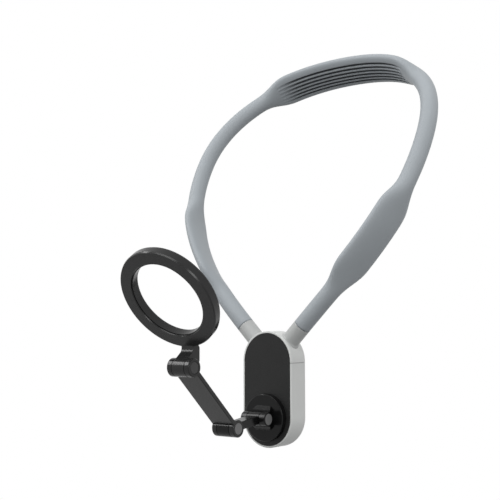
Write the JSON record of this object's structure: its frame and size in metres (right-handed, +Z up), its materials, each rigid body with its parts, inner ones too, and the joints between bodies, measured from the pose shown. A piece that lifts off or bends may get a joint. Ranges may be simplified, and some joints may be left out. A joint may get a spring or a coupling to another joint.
{
  "type": "neck phone holder",
  "caption": "Bendable silicone neck band with ribbed nape pad and pill-shaped chest housing; a swivelling, folding hinged arm carries a magnetic ring that holds a phone.",
  "frame": {"origin": "middle of the nape pad's ribbed inner face, where the band rests on the back of the neck", "axes": "+Z up as worn, +Y back towards the nape, the arm and ring reach out along -Y, +X to the right of a viewer who faces the front plate"},
  "size_m": [0.166, 0.1989, 0.2369],
  "materials": {
    "silicone": "smooth matte blue-grey silicone",
    "housing_plastic": "light grey satin moulded plastic",
    "plate_plastic": "black moulded plastic with a fine texture",
    "arm_metal": "matte black anodised",
    "pin_metal": "dark grey satin",
    "screw_steel": "plain steel",
    "washer_nylon": "black nylon",
    "ring_metal": "matte black anodised",
    "shield_steel": "plain steel",
    "magnet_nickel": "nickel plated",
    "pad_silicone": "black matte silicone"
  },
  "bodies": {
    "base": {"neck_band": "silicone", "ferrule_left": "housing_plastic", "ferrule_right": "housing_plastic", "ferrule_nuts": "screw_steel", "upper_housing": "housing_plastic", "lower_housing": "housing_plastic", "housing_screws": "screw_steel", "front_plate": "plate_plastic"},
    "swivel": {"swivel_bracket": "arm_metal", "swivel_washer": "screw_steel", "swivel_screw": "screw_steel", "hinge_1_screw": "pin_metal", "hinge_1_nut": "pin_metal", "hinge_1_washers": "washer_nylon"},
    "link": {"short_link": "arm_metal"},
    "arm": {"long_arm": "arm_metal", "hinge_2_screw": "pin_metal", "hinge_2_nut": "pin_metal", "hinge_2_washers": "washer_nylon", "hinge_3_screw": "pin_metal", "hinge_3_nut": "pin_metal", "hinge_3_washers": "washer_nylon"},
    "ring": {"ring_frame": "ring_metal", "ring_shield": "shield_steel", "ring_magnets": "magnet_nickel", "ring_pad": "pad_silicone"}
  },
  "joints": [
    {"name": "swivel_turn", "type": "hinge", "parent": "base", "child": "swivel", "pos_m": [0, -0.0886, -0.20957], "axis": [0, -1, 0], "continuous": true},
    {"name": "hinge_1", "type": "hinge", "parent": "swivel", "child": "link", "pos_m": [0, -0.0982, -0.20957], "axis": [-1, 0, 0], "range_deg": [-70, 30]},
    {"name": "hinge_2", "type": "hinge", "parent": "link", "child": "arm", "pos_m": [0, -0.12331, -0.21261], "axis": [-1, 0, 0], "range_deg": [-80, 25]},
    {"name": "hinge_3", "type": "hinge", "parent": "arm", "child": "ring", "pos_m": [0, -0.15874, -0.17934], "axis": [-1, 0, 0], "range_deg": [-110, 20]}
  ]
}
